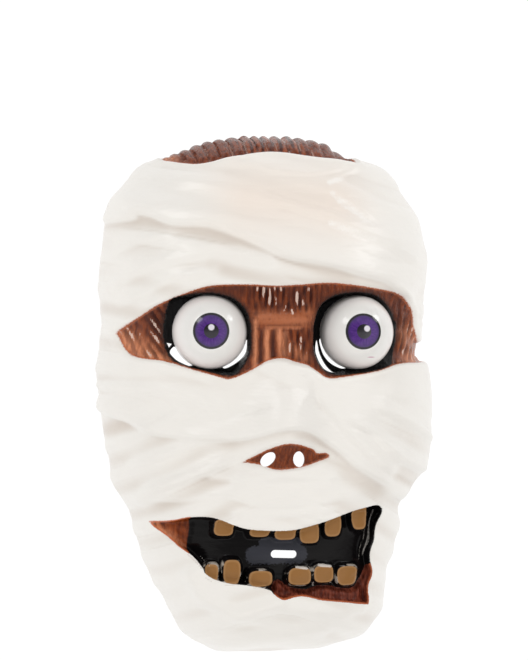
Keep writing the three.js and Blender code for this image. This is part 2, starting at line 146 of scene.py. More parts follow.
def inside(outline, x, y):
    """Signed distance in mm to a closed outline, positive inside, and the nearest point on it."""
    signed, near_x, near_y = nearest(outline, x, y, True)
    crossings = np.zeros(x.shape, int)
    for (ax, ay), (bx, by) in zip(outline, np.roll(outline, -1, axis=0)):
        if ay == by:
            continue
        across = ((ay > y) != (by > y)) & (x < (bx - ax) * (y - ay) / (by - ay) + ax)
        crossings += across
    return np.where(crossings % 2 == 1, 1, -1) * np.abs(signed), near_x, near_y


# Borders of the bare skin, the black hollows and the mouth, in mm across and along the face
EYE_SKIN = rounded([
    (-83, 33.6), (-83, 33.6), (-74.4, 41.1), (-61.1, 50.1), (-42.4, 57.5), (-29.7, 59), (-15.1, 59),
    (-4, 58.5), (8.9, 59.1), (24.7, 60.2), (39.8, 59), (52.8, 57.2), (62.8, 55.5), (68.5, 52.6),
    (73.4, 47.8), (75.8, 44), (76.8, 36.9), (80.5, 28.8), (80.5, 28.8), (99, 28.4), (99, 28.4),
    (99, 18.6), (99, 18.6), (82.2, 16.9), (70.7, 16.9), (63.1, 16), (53, 13.3), (40.2, 11.2), (27.8, 9.7),
    (23.1, 10.3), (19, 13), (13, 16.7), (6.9, 18.3), (0.1, 20.4), (-7.5, 19.4), (-14.8, 15.2),
    (-22.1, 11.5), (-28.4, 9.4), (-33, 10.4), (-47.2, 14.6), (-61.1, 18.8), (-73, 20.5), (-79, 24.5),
], True)
NOSE_SKIN = rounded([
    (-21.1, -34.5), (-21.1, -34.5), (-14.6, -31.3), (-9.8, -28.6), (-4.6, -26.3), (0.4, -25), (6.6, -25.4),
    (10.9, -26.6), (15.7, -28.3), (18.1, -30.3), (23.2, -30.3), (24.9, -32.2), (18.8, -34.5), (11.7, -36.8),
    (3.6, -38.3), (-2.9, -38.6), (-7.1, -37.7), (-12.4, -35.9),
], True)
SCALP_SKIN = rounded([
    (-57, 126), (-57, 126), (-47, 124.2), (-38.5, 124), (-22.9, 127), (-7.1, 130.3), (4.4, 130.5),
    (17.9, 128.6), (33.8, 126.7), (46.5, 125), (46.5, 125), (50, 160), (50, 160), (-62, 160), (-62, 160),
], True)
LEFT_SOCKET = rounded([
    (-60.3, 46.6), (-59.3, 50.1), (-56.4, 52.5), (-50.2, 53.9), (-38.3, 55), (-27.2, 52.4), (-20.5, 47),
    (-17.4, 39.8), (-16.6, 30.8), (-17, 24), (-19.2, 18.4), (-22.2, 13.9), (-25.5, 11.4), (-31.4, 11.4),
    (-40.2, 13.3), (-49, 15.5), (-55.4, 18.1), (-59.2, 21.7), (-61.3, 27.4), (-62.1, 34.2), (-61.3, 42.1),
], True)
RIGHT_SOCKET = rounded([
    (19.1, 46.1), (22.7, 50.6), (30.2, 54.2), (41.2, 55.5), (52.6, 53.6), (60.7, 47), (64.3, 39.9),
    (64.9, 30.7), (63.4, 23.8), (62, 16.9), (55.7, 14.2), (46.7, 12.4), (35.5, 11.4), (27.2, 11.5),
    (21.2, 14.9), (17.7, 21.7), (16.5, 29.7), (16.9, 38.7),
], True)
MOUTH = rounded([
    (-65, -66.9), (-65, -66.9), (-55.2, -65.8), (-47.3, -63.9), (-39.5, -63.7), (-33.5, -64.7),
    (-25.2, -67.8), (-18.2, -70), (-7.3, -70.9), (5.6, -70.7), (16.9, -68.2), (30.8, -63.8), (40.7, -60.9),
    (51.8, -58.5), (55.2, -60.1), (55.6, -62.6), (52, -72.3), (49.7, -80.7), (49.5, -88.4), (50.8, -95.7),
    (49.2, -103.8), (48.8, -110.4), (48.6, -112), (48.6, -112), (36.7, -110.3), (22.3, -108.5),
    (11.5, -106), (1.6, -106.9), (-3.8, -104.6), (-6.6, -102.4), (-17.6, -99.6), (-26.2, -98.6),
    (-33.7, -96.9), (-38.6, -93.7), (-40.2, -90.5), (-46.6, -83.2), (-54.8, -76.7), (-59.9, -72.2),
], True)
GUM = rounded([
    (-4.2, -102.1), (-0.7, -97.2), (5.4, -101), (14.2, -102.8), (20.8, -100.8), (27.7, -101),
    (32.4, -102.4), (41, -103), (45, -98.5), (48, -91), (54, -90), (55, -118), (55, -118),
    (0, -118), (0, -118),
], True)

# Where one turn of bandage laps over the next: rise, reach and width of the step in mm, and its path. The
# raised side is on the path's left.
LAPS = [
    (3, 13, 2.2, [(-98, 93), (-76, 94), (-73, 97), (-67, 96), (-56, 91), (-39, 90), (-25, 85), (-11, 79),
                    (3, 73), (21, 70), (41, 65), (57, 61), (66, 55), (75, 48)]),
    (1.5, 9, 2.2, [(18, 98), (28, 93), (37, 88), (56, 81), (83, 68)]),
    (1, 5, 1.2, [(28, 110), (40, 100), (54, 92)]),
    (0.8, 5, 1.2, [(30, 115), (42, 119), (53, 123)]),
    (0.9, 7, 1.2, [(-34, 122), (-12, 121), (0, 118), (20, 117), (43, 122)]),
    (1.2, 9, 3, [(-88, 53), (-77, 62), (-68, 67), (-59, 70), (-40, 72)]),
    (0.8, 6, 2, [(-87, 73), (-70, 82), (-49, 86)]),
    (0.8, 6, 2, [(-84, 46), (-66, 56), (-56, 61), (-36, 66)]),
    (0.6, 5, 1.4, [(-56, 113), (-38, 110), (-28, 107)]),
    (2.4, 11, 2, [(-97, -4), (-78, -14), (-65, -20), (-48, -22), (-23, -23), (-5, -18), (4, -17), (14, -19),
                    (28, -28), (44, -40), (63, -50)]),
    (1.3, 7, 1.6, [(-79, -39), (-59, -32), (-45, -26), (-36, -24)]),
    (2, 9, 1.6, [(-72, -54), (-63, -50), (-47, -44), (-34, -38), (-23, -35)]),
    (1.8, 7, 2, [(16, 3), (25, -9), (36, -21), (50, -34), (67, -45)]),
    (2.3, 9, 2.2, [(46, -5), (62, -12), (72, -17), (96, -29)]),
    (2, 8, 2, [(29, -11), (46, -19), (62, -33), (75, -39), (91, -43)]),
    (1, 5, 1.4, [(60, -38), (67, -43), (84, -51)]),
    (1.2, 8, 2.5, [(53, 4), (71, -4), (86, -5)]),
    (1.2, 7, 2, [(-49, -39), (-32, -44), (-4, -44), (22, -44), (34, -46)]),
    (1, 6, 1.6, [(-68, -56), (-52, -56), (-32, -53), (-11, -58), (19, -57), (35, -55)]),
    (0.9, 6, 2, [(-32, -61), (-6, -64), (22, -62), (35, -59)]),
    (1, 8, 2.5, [(-76, -51), (-66, -62)]),
    (0.6, 5, 1.4, [(-73, 5), (-51, 0), (-40, -6), (-28, -7)]),
    (0.6, 5, 1.6, [(-71, 15), (-48, 10), (-34, 5)]),
]

# Rounded creases that stand up by themselves: rise and half width in mm, and path
CREASES = [
    (2, 4, [(-45, -95), (-41, -103), (-35, -109), (-25, -113), (-14, -112), (0, -107)]),
    (1.2, 3.5, [(-21, -116), (-6, -120), (9, -123), (25, -124)]),
    (1, 3, [(20, -112), (34, -116), (45, -115)]),
    (1, 5, [(-36, -128), (1, -128), (21, -127)]),
    (1, 4, [(-23, -46), (-5, -48), (9, -49), (24, -46)]),
    (0.8, 3, [(6, 15), (11, 9), (13, 3), (8, -4)]),
    (1.2, 4, [(-23, -64), (-11, -67), (3, -68), (19, -65)]),
    (1.2, 5, [(-23, 75), (-9, 72)]),
    (0.9, 4, [(-59, 72), (-43, 73)]),
    (1, 4.5, [(33, -11), (45, -16)]),
    (0.8, 3, [(-49, 64), (-36, 67)]),
]

# The nose from lip to bridge: place along the half height, rise and half width in mm
NOSE = np.array([
    (-0.33, 0, 12.8), (-0.27, 1.5, 14.4), (-0.215, 6.5, 15.2), (-0.165, 12.3, 16), (-0.09, 13, 16),
    (0, 9.8, 13.6), (0.1, 3.9, 9.6), (0.18, 0, 8),
])
BANDAGE_THICKNESS, BANDAGE_EDGE = 2.0, 2.4
RIM_FADE = 12.0
FOLD_END, LAP_SINK = 10.0, 0.5

# Teeth: middle, width and height of the front in mm
TEETH = [
    (-29.9, -69.2, 10, 9.5), (-11.8, -71.1, 11.1, 7), (1.8, -72, 11.9, 8.5), (14.9, -72.6, 11, 11.3),
    (27.7, -68.8, 9.2, 12.7), (42.8, -65.3, 9.3, 13.3),
    (-35.4, -93.2, 6.9, 9.2), (-25.4, -92.7, 8.9, 13), (-10.6, -96.4, 12.7, 8.7), (10, -95.5, 12.6, 9.5),
    (23.1, -94.6, 11.4, 9.2), (36.4, -96, 11.6, 10.9),
]
TOOTH_RISE, TOOTH_SWELL, TOOTH_FLARE, TOOTH_SQUARENESS = 7.0, 0.8, 1.0, 3.4
MOUTH_DEPTH, CORNER_DEPTH, GUM_RISE, WALL_RUN = 9.0, 2.5, 4.5, 1.8
SOCKET_RUN = WALL_RUN + 0.6
# A low mound carries the breathing slot: rise, middle, half width and half height in mm
MOUND_RISE, MOUND_X, MOUND_Y, MOUND_WIDE, MOUND_TALL = 2.5, 4, -83, 22, 8
# Even ribs in the mouth's left corner, along its right wall and on the gum: rise and pitch in mm
CORNER_RIBS, WALL_RIBS, GUM_RIBS = (0.7, 4.4), (0.5, 4.2), (0.5, 5.2)
BALL_RADIUS, BALL_PROUD = 20.0, 12.0
EYES = [(-0.406 * HALF_WIDTH, 0.243 * HALF_HEIGHT, -6.0), (0.461 * HALF_WIDTH, 0.241 * HALF_HEIGHT, 1.0)]


def socket_floor(eye, x):
    """Height of a socket's flat floor, which is square to the ball's look, in mm."""
    eye_x, eye_y, look = eye
    middle = plain_height(np.array(eye_x), np.array(eye_y)) + BALL_PROUD - BALL_RADIUS
    return middle - (x - eye_x) * math.tan(math.radians(look))


def lapped(x, y):
    """Rise of the bandage folds over the plain wrap, in mm."""
    height = np.zeros(x.shape)
    for rise, reach, step, path in LAPS:
        distance, near_x, near_y = nearest(rounded(path, False, PATH_STEPS), x, y, False)
        ends = (path[0], path[-1])
        to_end = np.min([np.hypot(near_x - end_x, near_y - end_y) for end_x, end_y in ends], axis=0)
        lap = (1 + LAP_SINK) * smooth(-step, step, distance) - LAP_SINK
        height += rise * lap * np.exp(-np.abs(distance) / reach) * smooth(0, FOLD_END, to_end)
    for rise, wide, path in CREASES:
        distance, _, _ = nearest(rounded(path, False, PATH_STEPS), x, y, False)
        height += rise * np.exp(-((distance / wide) ** 2))
    return height


def depth_in(outlines, x, y):
    """Signed distance in mm into the nearest of several outlines, positive inside."""
    return np.max([inside(outline, x, y)[0] for outline in outlines], axis=0)


BARE_SKIN = (EYE_SKIN, NOSE_SKIN, SCALP_SKIN)


WAVES, TURN_SPREAD = 24, 0.3


def drawn_out(seed, along, across, long, short):
    """A smooth random wave of about -1 to 1, drawn out one way. Places and wave lengths are in mm."""
    total = np.zeros(np.shape(along))
    for turn, shift in np.random.default_rng(seed).uniform(0, 2 * math.pi, (WAVES, 2)):
        turn = math.pi / 2 + TURN_SPREAD * (turn - math.pi)
        phase = along * math.cos(turn) / long + across * math.sin(turn) / short
        total += np.cos(2 * math.pi * phase + shift)
    return total / math.sqrt(WAVES / 2)


# The wraps' fine wrinkles: wave lengths along and across them, and of where they show, all in mm. Those of
# the brow slope one way, and those below the eyes fall away to both sides.
RUMPLE_WAVES, SHOWING_WAVES = (70, 17), (50, 30)
RUMPLE_RISE, VALLEY_DEPTH, VALLEY_WIDTH = 0.3, 0.5, 0.5
BROW_SLOPE, CHEEK_SLOPE, CHEEK_ROUNDING = 0.25, 0.5, 300


def rumples(x, y):
    """Rise of the wraps' fine wrinkles, in mm: narrow valleys that come and go, lying as the wraps run."""
    lower = smooth(20, -10, y)
    across = y + BROW_SLOPE * x * (1 - lower) + CHEEK_SLOPE * np.sqrt(x**2 + CHEEK_ROUNDING) * lower
    wave = drawn_out(1, x, across, *RUMPLE_WAVES)
    there = smooth(-0.2, 0.9, drawn_out(2, x, across, *SHOWING_WAVES))
    return RUMPLE_RISE * wave - VALLEY_DEPTH * there * np.exp(-((wave / VALLEY_WIDTH) ** 2))


# The skin's wrinkles in mm. Between the eyes stand even columns under a ledge, which begins and ends softly
# between two heights. The random ones have a rise and wave lengths along and across them.
COLUMN_RISE, COLUMN_PITCH, COLUMN_WAVER = 0.6, 6.3, 0.4
LEDGE_RISE, LEDGE_FOOT, LEDGE_TOP, LEDGE_HALF = 0.8, (35.6, 37.4), (48, 42), 15
FINE_RISE, FINE_WAVES = 0.55, (12, 3.0)
ON_LEDGE_RISE, ON_LEDGE_WAVES = 0.25, (20, 3.2)
LEFT_RISE, LEFT_WAVES, RIGHT_RISE, RIGHT_WAVES = 0.55, (16, 3.3), 0.5, (16, 3.0)


def wrinkles(x, y):
    """Rise of the skin's own wrinkles, in mm: upright between the eyes, slanting at the outer corners."""
    between = np.exp(-(((x + 1) / 20) ** 4))
    waver = COLUMN_WAVER * np.sin(y / 7)
    columns = COLUMN_RISE * np.cos((x + 8.5 + waver) * 2 * math.pi / COLUMN_PITCH)
    fine = FINE_RISE * drawn_out(4, y + 0.3 * x, x, *FINE_WAVES)
    right_half = smooth(0, 4, x)
    upper, lower = smooth(43, 48, y), smooth(37, 34, y)
    ribs = (columns * (1 - right_half) + fine * right_half) * lower + fine * upper
    ledge = LEDGE_RISE * smooth(*LEDGE_FOOT, y) * smooth(*LEDGE_TOP, y) * np.exp(-((x / LEDGE_HALF) ** 4))
    ledge += ON_LEDGE_RISE * drawn_out(7, x, y, *ON_LEDGE_WAVES) * smooth(36, 38, y) * smooth(46, 43, y)
    left = LEFT_RISE * drawn_out(5, 0.5 * x - 0.87 * y, 0.87 * x + 0.5 * y, *LEFT_WAVES)
    right = RIGHT_RISE * drawn_out(6, 0.27 * x + 0.96 * y, 0.96 * x - 0.27 * y, *RIGHT_WAVES)
    return between * (ribs + ledge) * smooth(2, 8, y) + left * smooth(-56, -61, x) + right * smooth(60, 64, x)


# The scalp's lobes: from one to the next in mm, how pointed the grooves are, and rise and sink in mm
FLUTE_PITCH, FLUTE_POWER, FLUTE_RISE, FLUTE_SINK = 6.4, 0.6, 2.2, 0.9


def flutes(x):
    """Rise of the scalp's uneven round flutes along the hairline, from 0 between them to 1 on their backs."""
    phase = x + 2 + np.sin(x / 7.3) + 0.5 * np.sin(x / 3.9 + 1)
    return np.abs(np.sin(phase * math.pi / FLUTE_PITCH)) ** FLUTE_POWER


# A low hem in the wraps beside the skin: rise, distance from the skin and half width in mm
HEM_RISE, HEM_AWAY, HEM_HALF = 0.5, 2.2, 1.6


def relief(x, y, z):
    """How far the sheet stands out from the plain face, in mm."""
    skin = depth_in(BARE_SKIN, x, y)
    bandage = 1 - smooth(-BANDAGE_EDGE / 2, BANDAGE_EDGE / 2, skin)
    height = (BANDAGE_THICKNESS + lapped(x, y) + rumples(x, y)) * bandage
    height += HEM_RISE * np.exp(-(((skin + HEM_AWAY) / HEM_HALF) ** 2))
    height += wrinkles(x, y) * smooth(0, 3, inside(EYE_SKIN, x, y)[0])
    at = y / HALF_HEIGHT
    height += read(NOSE, at, 1) * np.exp(-((x / read(NOSE, at, 2)) ** 2))
    scalp = smooth(0.5, 3, inside(SCALP_SKIN, x, y)[0])
    return height * smooth(0, RIM_FADE, z) + scalp * (FLUTE_RISE * flutes(x) - FLUTE_SINK)


def even_ribs(across, rise, pitch, waver=0):
    """Height of even round ribs at a distance across them, in mm."""
    return rise * np.sin(across * 2 * math.pi / pitch + waver)


def from_tooth(x, y, tooth_x, tooth_y, half_wide, half_tall):
    """How far out of a tooth's rounded square front a place is: 0 in the middle and 1 on the edge."""
    across, along = np.abs(x - tooth_x) / half_wide, np.abs(y - tooth_y) / half_tall
    return (across**TOOTH_SQUARENESS + along**TOOTH_SQUARENESS) ** (1 / TOOTH_SQUARENESS)


def recessed(x, y, z, surface_z):
    """Height of the sheet once mouth and sockets are pressed in, in mm."""
    mouth = inside(MOUTH, x, y)[0]
    deep = MOUTH_DEPTH * smooth(-54, -43, x) + CORNER_DEPTH * smooth(-66, -50, x) * smooth(-43, -54, x)
    floor = z - deep
    floor += MOUND_RISE * np.exp(-(((x - MOUND_X) / MOUND_WIDE) ** 2) - (((y - MOUND_Y) / MOUND_TALL) ** 2))
    floor += even_ribs(x * 0.55 + y * 0.85, *CORNER_RIBS) * smooth(-44, -50, x)
    floor += even_ribs(mouth, *WALL_RIBS) * smooth(40, 46, x) * smooth(9, 5, mouth)
    gum = smooth(0, 3, inside(GUM, x, y)[0])
    floor += gum * (GUM_RISE + even_ribs(x, *GUM_RIBS, 0.6 * np.sin(y / 2)))
    for tooth_x, tooth_y, wide, tall in TEETH:
        edge = from_tooth(x, y, tooth_x, tooth_y, wide / 2 + TOOTH_FLARE, tall / 2 + TOOTH_FLARE)
        rise = TOOTH_RISE * smooth(1.12, 0.8, edge) + TOOTH_SWELL * np.exp(-(edge**2) * 2)
        floor = np.maximum(floor, z - deep + rise)
    surface_z = surface_z + (floor - surface_z) * smooth(0, WALL_RUN, mouth)
    for outline, eye in zip((LEFT_SOCKET, RIGHT_SOCKET), EYES):
        within = inside(outline, x, y)[0]
        low = np.minimum(socket_floor(eye, x), surface_z)
        surface_z = surface_z + (low - surface_z) * smooth(0, SOCKET_RUN, within)
    return surface_z


COLUMNS, ROWS = 216, 340
# The columns of the middle part are evenly spaced, and the others turn in even steps, in degrees, to the rim
MIDDLE_SHARE, MIDDLE_TURN = 0.74, 42.0
CREST_POINTS = 4001
# How closely the rows lie along the crest, from chin to crown
ROW_DENSITY = np.array([
    (-1, 0.9), (-0.9, 0.7), (-0.8, 1.25), (-0.45, 1.25), (-0.35, 1), (0, 1), (0.08, 1.2), (0.42, 1.2),
    (0.5, 0.9), (0.85, 0.9), (0.95, 1.1), (1, 1.1),
])


def row_places():
    """Heights of the grid's rows in mm, spread along the crest line by the table of densities."""
    at = np.linspace(-1, 1, CREST_POINTS)
    y = at * HALF_HEIGHT
    z = section(y)[2]
    steps = np.hypot(np.diff(y), np.diff(z)) * np.interp((at[1:] + at[:-1]) / 2, *ROW_DENSITY.T)
    way = np.concatenate([[0], np.cumsum(steps)])
    return np.interp(np.linspace(0, way[-1], ROWS + 1), way, y)


def column_places():
    """Shares of the half width for the grid's columns, closer together at the sides."""
    u = np.linspace(-1, 1, COLUMNS + 1)
    edge_share = math.cos(math.radians(MIDDLE_TURN)) ** (2 / ROUNDNESS)
    turn = np.radians(MIDDLE_TURN) * np.clip((1 - np.abs(u)) / (1 - MIDDLE_SHARE), 0, 1)
    even = np.abs(u) / MIDDLE_SHARE * edge_share
    share = np.where(np.abs(u) < MIDDLE_SHARE, even, np.cos(turn) ** (2 / ROUNDNESS))
    return np.sign(u) * share


# Small waves of the trimmed rim: height in mm, and how far the left and the right edge stand out
RIM_WAVES = np.array([
    (-60, 0, 0), (-48, 1.3, 0), (-44, 1.3, 0), (-36, 0, 1.6), (-28, 0, 1.6), (-22, 0, 0.2), (-8, 0, 1.5),
    (0, 0, 1.5), (12, 0, 0), (24, 0, -1.3), (32, -0.6, -1.3), (38, -2.2, 0), (44, 0, 0), (66, 0, 0),
    (72, 0, 1.5), (77, 0, 1.5), (84, 0, 0), (122, 0, 0), (128, -2, -2), (134, 0, 0),
])
WAVE_FADE = 14
# How far a vertex moves onto a pressed-in edge in mm, and the share of the half width that is left alone
EDGE_CATCH, BESIDE_RIM = 0.48, 0.95


def shell_points():
    """The sheet's outside as a grid of points in mm, the plain face's places and its outward directions."""
    y = np.repeat(row_places()[:, None], COLUMNS + 1, axis=1)
    middle, half, depth = section(y)
    share = column_places()[None, :]
    x = middle + share * half
    z = depth * np.sqrt(np.maximum(1 - np.abs(share) ** ROUNDNESS, 0))
    plain = np.stack([x, y, z], axis=-1)
    across, along = np.gradient(plain, axis=1), np.gradient(plain, axis=0)
    out = np.cross(across, along)
    for rim in (out[0], out[-1], out[:, 0], out[:, -1]):
        rim[:, 2] = 0
    out /= np.linalg.norm(out, axis=-1, keepdims=True) + 1e-9
    # vertices close to a pressed-in edge move onto it, so that the edge runs clean
    for outline in (MOUTH, LEFT_SOCKET, RIGHT_SOCKET):
        distance, near_x, near_y = inside(outline, x, y)
        close = (np.abs(distance) < EDGE_CATCH) & (np.abs(share) < BESIDE_RIM)
        x, y = np.where(close, near_x, x), np.where(close, near_y, y)
        z = np.where(close, plain_height(x, y), z)
    wave = np.where(share < 0, -np.interp(y, *RIM_WAVES[:, :2].T), np.interp(y, *RIM_WAVES[:, ::2].T))
    moved = np.stack([x + wave * np.abs(share) ** WAVE_FADE, y, z], axis=-1)
    rise = relief(*np.moveaxis(moved, -1, 0))
    surface = moved + out * rise[..., None]
    surface[..., 2] = recessed(*np.moveaxis(moved, -1, 0), surface[..., 2])
    for rim in (surface[0], surface[-1], surface[:, 0], surface[:, -1]):
        rim[:, 2] = 0
    return surface, moved[..., :2], out


def grid_mesh(points, places, flip):
    """A bmesh grid whose vertices are moved to points, with their plain places kept as its UV map."""
    rows, columns = points.shape[:2]
    bm = bmesh.new()
    bmesh.ops.create_grid(bm, x_segments=columns - 1, y_segments=rows - 1, size=1.0)
    bm.verts.ensure_lookup_table()
    flat = np.array([v.co[:2] for v in bm.verts])
    order = np.lexsort((np.round(flat[:, 0], 5), np.round(flat[:, 1], 5)))
    uv = bm.loops.layers.uv.new("plain")
    kept = {}
    for index, point, place in zip(order, points.reshape(-1, 3), places.reshape(-1, 2)):
        bm.verts[index].co = point * MM
        kept[int(index)] = place * MM
    for face in bm.faces:
        for loop in face.loops:
            loop[uv].uv = kept[loop.vert.index]
    if flip:
        bmesh.ops.reverse_faces(bm, faces=bm.faces)
    return bm


def joined(first, second):
    """Adds the second bmesh to the first one."""
    mesh = bpy.data.meshes.new("joined")
    second.to_mesh(mesh)
    second.free()
    first.from_mesh(mesh)
    bpy.data.meshes.remove(mesh)
    return first


def made(name, bm):
    """A scene object from a bmesh."""
    mesh = bpy.data.meshes.new(name)
    bm.to_mesh(mesh)
    bm.free()
    obj = bpy.data.objects.new(name, mesh)
    bpy.context.scene.collection.objects.link(obj)
    return obj


surface, places, outward = shell_points()
back = surface - outward * SHEET
# on the steep walls of mouth and sockets the back keeps behind the lowest front point near by
near_hollow = depth_in((MOUTH, LEFT_SOCKET, RIGHT_SOCKET), places[..., 0], places[..., 1]) > -WALL_MARGIN
lowest = back[..., 2].copy()
for _ in range(2):
    around = np.pad(lowest, 1, mode="edge")
    rows, columns = lowest.shape
    lowest = np.min([around[i : i + rows, j : j + columns] for i in range(3) for j in range(3)], axis=0)
back[..., 2] = np.where(near_hollow, lowest, back[..., 2])
shell_bm = grid_mesh(surface, places, False)
inner_bm = grid_mesh(back[::2, ::2], places[::2, ::2], True)
for face in inner_bm.faces:
    face.material_index = 1
bmesh.ops.subdivide_edges(inner_bm, edges=[e for e in inner_bm.edges if e.is_boundary], cuts=1)
joined(shell_bm, inner_bm)
bmesh.ops.bridge_loops(shell_bm, edges=[e for e in shell_bm.edges if e.is_boundary])
bmesh.ops.recalc_face_normals(shell_bm, faces=shell_bm.faces)
shell = made("formed_shell", shell_bm)
glossy_paint = bpy.data.materials.new("gloss_paint_on_vinyl")
bare_vinyl = bpy.data.materials.new("bare_vinyl_back")
hollow_paint = bpy.data.materials.new("thin_gloss_in_the_hollows")
skin_paint = bpy.data.materials.new("airbrushed_gloss_on_skin")
for material in (glossy_paint, bare_vinyl, hollow_paint, skin_paint):
    shell.data.materials.append(material)

# Holes to see and breathe through, punched through the sheet: sight slits that run on under the eyeballs,
# nostrils and a breathing slot. Places and sizes are in mm, and a cut goes from one height to another.
SLITS = [
    [(-58.5, 23.5), (-56.4, 20.4), (-53.4, 18.2), (-48, 16.1), (-45.2, 18.5), (-53.4, 24), (-56, 26.4)],
    [(-16.8, 30.2), (-17, 26.1), (-19.2, 21.3), (-24.3, 16.9), (-29.8, 14.8), (-31.2, 19), (-25.2, 23),
     (-21.2, 28)],
    [(-60.1, 28.4), (-60.1, 28.4), (-57.2, 27.8), (-57.2, 27.8), (-58.8, 25.7), (-58.8, 25.7)],
    [(20.8, 30), (20, 25.6), (20.6, 21.8), (22.8, 16.9), (25.5, 13.5), (30.1, 12.1), (30.1, 12.1),
     (26.6, 15.5), (24.1, 19.3), (22.3, 23.6), (21.7, 27)],
    [(22.3, 30.2), (23.4, 24.5), (25.6, 20.2), (29.1, 16.9), (34.3, 14.6), (37.3, 15.6), (32.8, 21),
     (27.8, 25), (25.8, 30)],
]
SLIT_CUT, NOSTRIL_CUT, SLOT_CUT = (42, 60), (50, 95), (30, 80)
# Nostrils: middle, half length, half width and lean in degrees
NOSTRILS = [
    (-0.09 * HALF_WIDTH, -0.235 * HALF_HEIGHT, 4.5, 3.2, 45),
    (0.09 * HALF_WIDTH, -0.235 * HALF_HEIGHT, 4.3, 3.2, 105),
]
# Slot: middle, width, height and lean
SLOT = (2.2, -84.2, 14.2, 4.3, -2)
HOLE_SIDES = 28


def flat_uv(bm, name):
    """A UV map that keeps each vertex's place seen from the front, in metres."""
    uv = bm.loops.layers.uv.new(name)
    for face in bm.faces:
        for loop in face.loops:
            loop[uv].uv = loop.vert.co.xy


def prism(outline, low, high):
    """A closed upright prism over an outline in mm, with its plain places as UV map."""
    bm = bmesh.new()
    bmesh.ops.create_circle(bm, cap_ends=True, radius=1.0, segments=len(outline))
    bm.verts.ensure_lookup_table()
    turns = [math.atan2(v.co.y, v.co.x) % (2 * math.pi) for v in bm.verts]
    for index, point in zip(np.argsort(turns), outline):
        bm.verts[int(index)].co = Vector((point[0] * MM, point[1] * MM, low * MM))
    cap = bmesh.ops.extrude_face_region(bm, geom=bm.faces[:])
    for v in cap["geom"]:
        if isinstance(v, bmesh.types.BMVert):
            v.co.z = high * MM
    bmesh.ops.recalc_face_normals(bm, faces=bm.faces)
    flat_uv(bm, "plain")
    return bm


def turned(points, x, y, degrees):
    """Points about the origin, turned and moved to a place."""
    turn = math.radians(degrees)
    turning = np.array([(math.cos(turn), math.sin(turn)), (-math.sin(turn), math.cos(turn))])
    return np.array(points) @ turning + (x, y)


cutter_bm = bmesh.new()
for outline in SLITS:
    joined(cutter_bm, prism(rounded(outline, True, PATH_STEPS), *SLIT_CUT))
ring = np.linspace(0, 2 * math.pi, HOLE_SIDES, endpoint=False)
for x, y, long, short, lean in NOSTRILS:
    oval = np.stack([long * np.cos(ring), short * np.sin(ring)], axis=1)
    joined(cutter_bm, prism(turned(oval, x, y, lean), *NOSTRIL_CUT))
x, y, wide, tall, lean = SLOT
straight = (wide - tall) / 2
stadium = []
# a small turn keeps the points off the line where the two round ends part
for a in ring + 0.05:
    stadium.append((math.copysign(straight, math.cos(a)) + tall / 2 * math.cos(a), tall / 2 * math.sin(a)))
joined(cutter_bm, prism(turned(stadium, x, y, lean), *SLOT_CUT))
cutter = made("hole_cutter", cutter_bm)

cut = shell.modifiers.new("holes", "BOOLEAN")
cut.operation = "DIFFERENCE"
cut.solver = "MANIFOLD"
cut.object = cutter
bpy.context.view_layer.update()
cut_mesh = bpy.data.meshes.new_from_object(shell.evaluated_get(bpy.context.evaluated_depsgraph_get()))
shell.modifiers.clear()
uncut = shell.data
shell.data = cut_mesh
bpy.data.meshes.remove(uncut)
bpy.data.objects.remove(cutter)
shell.data.name = "formed_shell"
for polygon in shell.data.polygons:
    polygon.use_smooth = True


def gathered(items, name, kind=int, width=1):
    """One value of each item of a mesh, as an array."""
    values = np.empty(width * len(items), kind)
    items.foreach_get(name, values)
    return values


# each vertex's place on the plain face, as its corners' mean, in mm
corner_of = gathered(shell.data.loops, "vertex_index")
plain_uv = gathered(shell.data.uv_layers["plain"].data, "uv", float, 2).reshape(-1, 2) / MM
count = len(shell.data.vertices)
corners = np.maximum(np.bincount(corner_of, minlength=count), 1)
plain_x, plain_y = (np.bincount(corner_of, plain_uv[:, k], count) / corners for k in (0, 1))


def paint_value(name, values):
    """Keeps one number per vertex of the shell for its paint."""
    layer = shell.data.attributes.new(name, "FLOAT", "POINT")
    layer.data.foreach_set("value", np.ascontiguousarray(values, np.float32))


def strokes(table):
    """Soft strokes: both ends and reach in mm, and strength."""
    total = np.zeros(len(plain_x))
    for ax, ay, bx, by, reach, strength in table:
        dx, dy = bx - ax, by - ay
        t = np.clip(((plain_x - ax) * dx + (plain_y - ay) * dy) / (dx * dx + dy * dy + 1e-9), 0, 1)
        far = np.hypot(plain_x - ax - t * dx, plain_y - ay - t * dy)
        total = np.maximum(total, strength * np.exp(-((far / reach) ** 2)))
    return total


FAR_OUT, RUMPLE_SHADE = -9.0, 1.2
teeth_inside = np.full(len(plain_x), FAR_OUT)
for tooth_x, tooth_y, wide, tall in TEETH:
    edge = from_tooth(plain_x, plain_y, tooth_x, tooth_y, wide / 2, tall / 2)
    teeth_inside = np.maximum(teeth_inside, (1 - edge) * min(wide, tall) / 2)
mouth_inside = depth_in([MOUTH], plain_x, plain_y)
socket_inside = depth_in([LEFT_SOCKET, RIGHT_SOCKET], plain_x, plain_y)
bare_skin = depth_in(BARE_SKIN, plain_x, plain_y)
paint_value("skin", bare_skin)
paint_value("mouth", mouth_inside)
paint_value("socket", socket_inside)
paint_value("gum", depth_in([GUM], plain_x, plain_y))
paint_value("teeth", teeth_inside)
# the wraps' fold heights; their low places are painted darker as shade
paint_value("fold", lapped(plain_x, plain_y) + RUMPLE_SHADE * rumples(plain_x, plain_y))
# the skin's wrinkle heights; in the paint their crests get painted light and their valleys painted shade
paint_value("rib", wrinkles(plain_x, plain_y))
paint_value("blush", strokes([(-16, 104, 28, 102, 20, 1.0)]))
